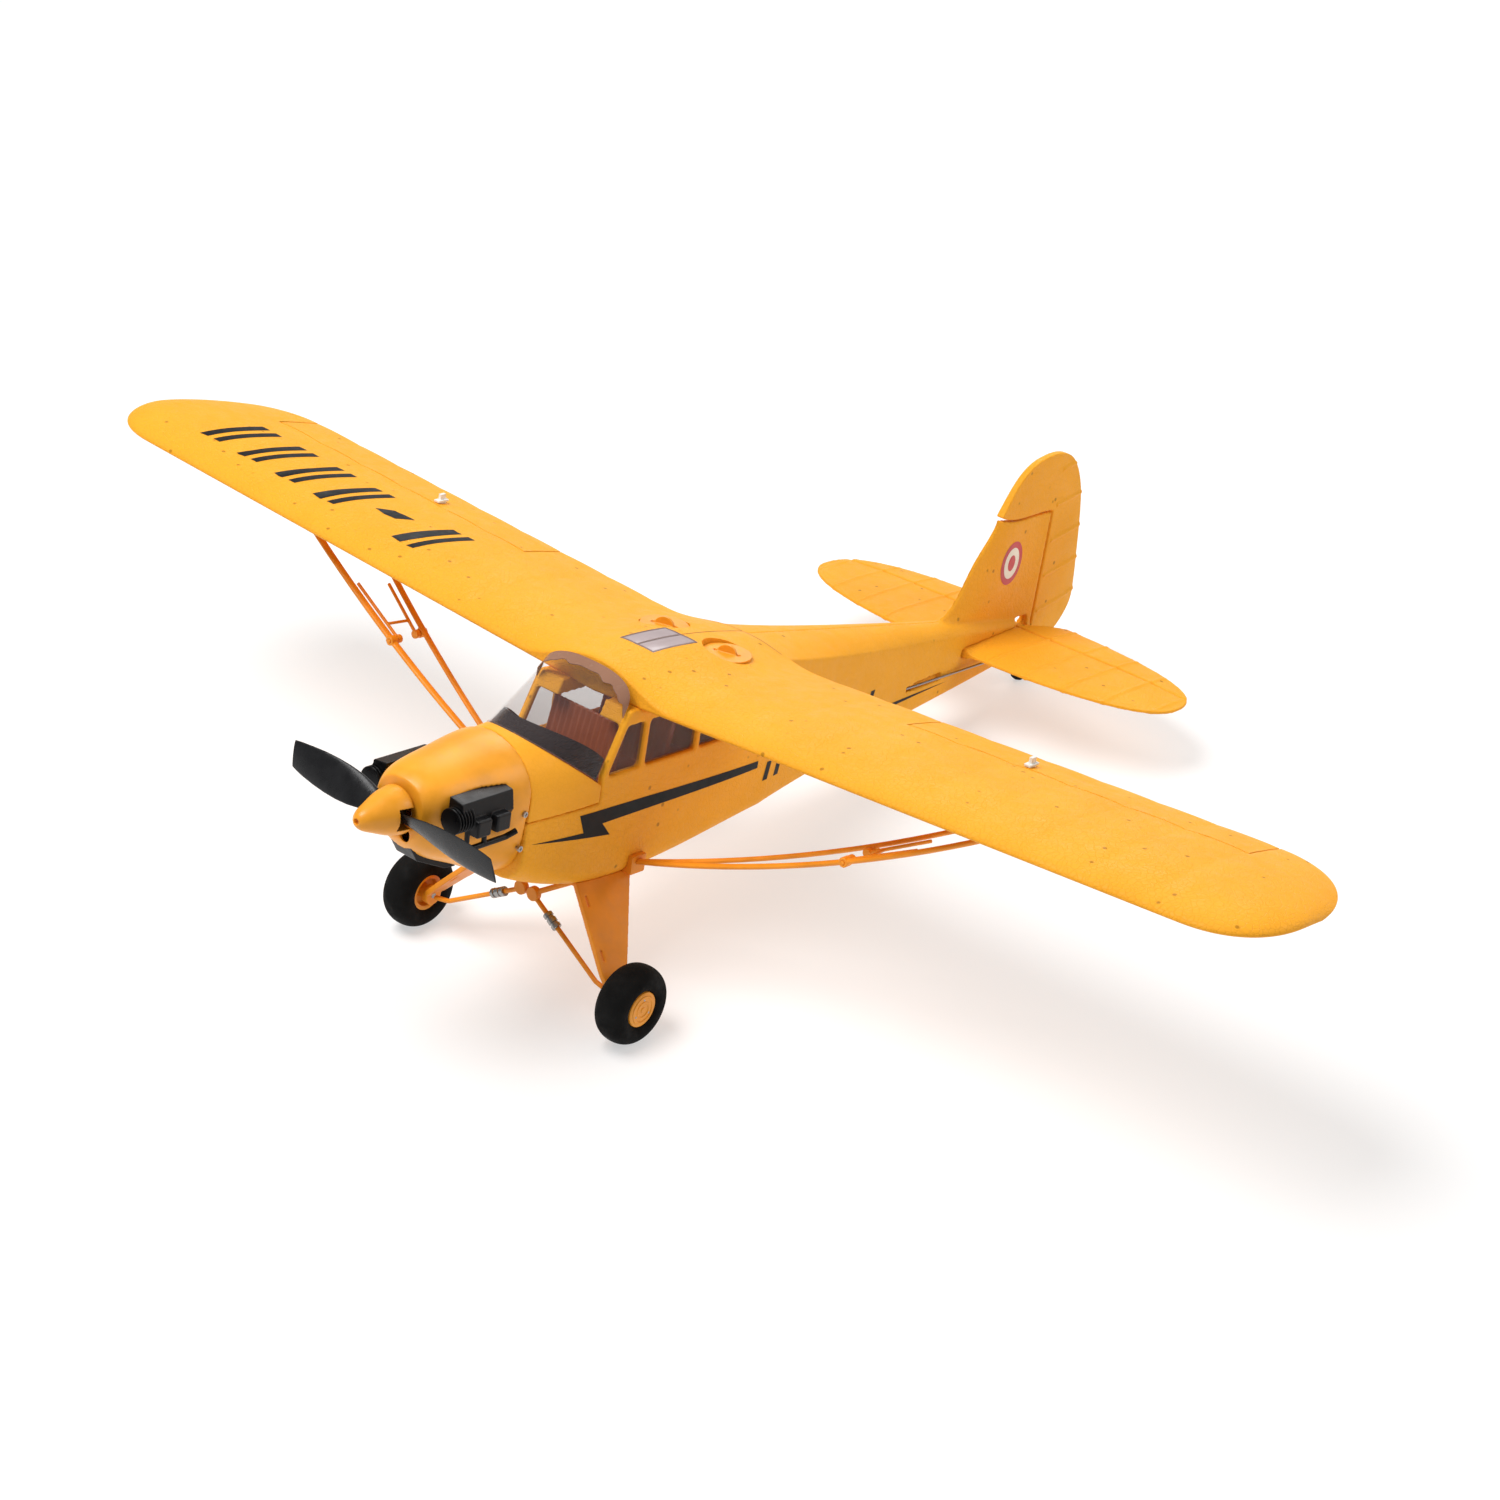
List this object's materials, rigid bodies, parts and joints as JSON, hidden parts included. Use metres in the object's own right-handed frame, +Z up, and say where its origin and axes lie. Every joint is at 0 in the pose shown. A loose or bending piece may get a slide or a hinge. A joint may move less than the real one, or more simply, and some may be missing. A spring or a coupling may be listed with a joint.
{
  "type": "rc foam airplane",
  "caption": "High-wing foam radio-control park flyer with clear cabin glazing, strut-braced wing, tail-wheel landing gear, electric motor and dummy engine cylinders.",
  "frame": {"origin": "on the floor under the middle of the bounding box, the aircraft standing on its two main wheels and its tail wheel", "axes": "+X to the left wing tip, -Y to the nose, +Y to the tail, +Z up"},
  "size_m": [0.6484, 0.4986, 0.1479],
  "materials": {
    "foam": "moulded foam, yellow-orange",
    "black_plastic": "moulded black plastic",
    "clear_pane": "thin clear vacuum-formed sheet",
    "carbon_tube": "carbon fibre tube",
    "cabin_tray": "dark vacuum-formed tray",
    "steel": "bright steel",
    "motor_metal": "turned aluminium",
    "strut_plastic": "moulded yellow-orange plastic",
    "tyre": "soft foam rubber",
    "hub_plastic": "moulded yellow-orange plastic",
    "horn_plastic": "moulded white nylon",
    "spinner_plastic": "glossy yellow-orange plastic",
    "battery_wrap": "shrink-wrapped cells",
    "board": "circuit board",
    "servo_case": "moulded servo case"
  },
  "bodies": {
    "airframe": {"fuselage_left": "foam", "fuselage_right": "foam", "nose_cowl": "strut_plastic", "skylight": "clear_pane", "wing_spar": "carbon_tube", "side_glazing": "clear_pane", "seats": "cabin_tray", "motor_mount": "motor_metal", "chin_scoop": "black_plastic", "flight_board": "board", "battery": "battery_wrap", "servo_cases": "servo_case", "axles": "steel", "shock_sleeves": "steel", "strut_fittings": "strut_plastic", "screws": "steel", "tailplane": "foam", "wing_left": "foam", "wing_right": "foam", "engine_left": "black_plastic", "engine_right": "black_plastic", "gear_leg_left": "strut_plastic", "gear_leg_right": "strut_plastic", "shock_strut_left": "strut_plastic", "shock_strut_right": "strut_plastic", "wing_struts_left": "strut_plastic", "wing_struts_right": "strut_plastic"},
    "elevator": {"elevator": "foam", "elevator_horn": "horn_plastic"},
    "rudder": {"rudder": "foam", "rudder_horn": "horn_plastic", "tail_wheel_fork": "steel"},
    "tail_wheel": {"tail_wheel": "tyre"},
    "elevator_arm": {"elevator_arm": "horn_plastic"},
    "elevator_pushrod": {"elevator_pushrod": "steel"},
    "rudder_arm": {"rudder_arm": "horn_plastic"},
    "rudder_pushrod": {"rudder_pushrod": "steel"},
    "rotor": {"propeller": "black_plastic", "spinner": "spinner_plastic", "motor_rotor": "motor_metal"},
    "hood": {"hood_hatch": "foam", "windshield": "clear_pane", "dashboard": "cabin_tray"},
    "aileron_left": {"aileron_left": "foam", "aileron_horn_left": "horn_plastic"},
    "aileron_arm_left": {"aileron_arm_left": "horn_plastic"},
    "aileron_pushrod_left": {"aileron_pushrod_left": "steel"},
    "wheel_left": {"tyre_left": "tyre", "wheel_hub_left": "hub_plastic"},
    "lock_knob_left": {"lock_knob_left": "strut_plastic"},
    "jury_frame_left": {"jury_frame_left": "strut_plastic"},
    "aileron_right": {"aileron_right": "foam", "aileron_horn_right": "horn_plastic"},
    "aileron_arm_right": {"aileron_arm_right": "horn_plastic"},
    "aileron_pushrod_right": {"aileron_pushrod_right": "steel"},
    "wheel_right": {"tyre_right": "tyre", "wheel_hub_right": "hub_plastic"},
    "lock_knob_right": {"lock_knob_right": "strut_plastic"},
    "jury_frame_right": {"jury_frame_right": "strut_plastic"}
  },
  "joints": [
    {"name": "propeller_spin", "type": "hinge", "parent": "airframe", "child": "rotor", "pos_m": [0, -0.23008, 0.11937], "axis": [0, -0.9846, 0.1748], "continuous": true},
    {"name": "wheel_left_spin", "type": "hinge", "parent": "airframe", "child": "wheel_left", "pos_m": [0.0635, -0.15569, 0.0178], "axis": [1, 0, 0], "continuous": true},
    {"name": "wheel_right_spin", "type": "hinge", "parent": "airframe", "child": "wheel_right", "pos_m": [-0.0635, -0.15569, 0.0178], "axis": [1, 0, 0], "continuous": true},
    {"name": "rudder_turn", "type": "hinge", "parent": "airframe", "child": "rudder", "pos_m": [0, 0.21797, 0.07161], "axis": [0, 0.1748, 0.9846], "range_deg": [-25, 25]},
    {"name": "tail_wheel_spin", "type": "hinge", "parent": "rudder", "child": "tail_wheel", "pos_m": [0, 0.21005, 0.007], "axis": [1, 0, 0], "continuous": true},
    {"name": "elevator_turn", "type": "hinge", "parent": "airframe", "child": "elevator", "pos_m": [0, 0.19858, 0.03392], "axis": [1, 0, 0], "range_deg": [-25, 25]},
    {"name": "elevator_arm_turn", "type": "hinge", "parent": "airframe", "child": "elevator_arm", "pos_m": [0.0077, -0.02, 0.07273], "axis": [1, 0, 0], "range_deg": [-25, 25]},
    {"name": "elevator_rod_turn", "type": "hinge", "parent": "elevator_arm", "child": "elevator_pushrod", "pos_m": [0.0077, -0.0214, 0.06485], "axis": [1, 0, 0], "range_deg": [-25, 25]},
    {"name": "rudder_arm_turn", "type": "hinge", "parent": "airframe", "child": "rudder_arm", "pos_m": [0, 0.00439, 0.06139], "axis": [0, 0.1748, 0.9846], "range_deg": [-25, 25]},
    {"name": "rudder_rod_turn", "type": "hinge", "parent": "rudder_arm", "child": "rudder_pushrod", "pos_m": [-0.009, 0.00439, 0.06139], "axis": [0, 0.1748, 0.9846], "range_deg": [-25, 25]},
    {"name": "aileron_left_turn", "type": "hinge", "parent": "airframe", "child": "aileron_left", "pos_m": [0.171, -0.03927, 0.12721], "axis": [0.9982, 0.0105, 0.059], "range_deg": [-20, 20]},
    {"name": "aileron_right_turn", "type": "hinge", "parent": "airframe", "child": "aileron_right", "pos_m": [-0.171, -0.03927, 0.12721], "axis": [0.9982, -0.0105, -0.059], "range_deg": [-20, 20]},
    {"name": "aileron_arm_left_turn", "type": "hinge", "parent": "airframe", "child": "aileron_arm_left", "pos_m": [0.171, -0.07029, 0.13272], "axis": [1, 0, 0], "range_deg": [-20, 20]},
    {"name": "aileron_rod_left_turn", "type": "hinge", "parent": "aileron_arm_left", "child": "aileron_pushrod_left", "pos_m": [0.171, -0.07169, 0.12484], "axis": [1, 0, 0], "range_deg": [-20, 20]},
    {"name": "lock_knob_left_turn", "type": "hinge", "parent": "airframe", "child": "lock_knob_left", "pos_m": [0.0182, -0.04739, 0.12441], "axis": [0, 0.1748, 0.9846], "range_deg": [0, 90]},
    {"name": "aileron_arm_right_turn", "type": "hinge", "parent": "airframe", "child": "aileron_arm_right", "pos_m": [-0.171, -0.07029, 0.13272], "axis": [1, 0, 0], "range_deg": [-20, 20]},
    {"name": "aileron_rod_right_turn", "type": "hinge", "parent": "aileron_arm_right", "child": "aileron_pushrod_right", "pos_m": [-0.171, -0.07169, 0.12484], "axis": [1, 0, 0], "range_deg": [-20, 20]},
    {"name": "lock_knob_right_turn", "type": "hinge", "parent": "airframe", "child": "lock_knob_right", "pos_m": [-0.0182, -0.04739, 0.12441], "axis": [0, 0.1748, 0.9846], "range_deg": [0, 90]},
    {"name": "jury_frame_left_turn", "type": "hinge", "parent": "airframe", "child": "jury_frame_left", "pos_m": [0.13202, -0.10361, 0.09538], "axis": [0, -0.9846, 0.1748], "range_deg": [0, 60]},
    {"name": "jury_frame_right_turn", "type": "hinge", "parent": "airframe", "child": "jury_frame_right", "pos_m": [-0.13202, -0.10361, 0.09538], "axis": [0, 0.9846, -0.1748], "range_deg": [0, 60]},
    {"name": "hood_lift", "type": "slide", "parent": "airframe", "child": "hood", "axis": [0, 0.1748, 0.9846], "range_m": [0, 0.05]}
  ],
  "couplings": [
    {"joint": "elevator_arm_turn", "follows": "elevator_turn", "ratio": 1},
    {"joint": "elevator_rod_turn", "follows": "elevator_turn", "ratio": -1},
    {"joint": "rudder_arm_turn", "follows": "rudder_turn", "ratio": 1},
    {"joint": "rudder_rod_turn", "follows": "rudder_turn", "ratio": -1},
    {"joint": "aileron_right_turn", "follows": "aileron_left_turn", "ratio": -1},
    {"joint": "aileron_arm_left_turn", "follows": "aileron_left_turn", "ratio": 1},
    {"joint": "aileron_rod_left_turn", "follows": "aileron_left_turn", "ratio": -1},
    {"joint": "aileron_arm_right_turn", "follows": "aileron_left_turn", "ratio": -1},
    {"joint": "aileron_rod_right_turn", "follows": "aileron_left_turn", "ratio": 1}
  ]
}
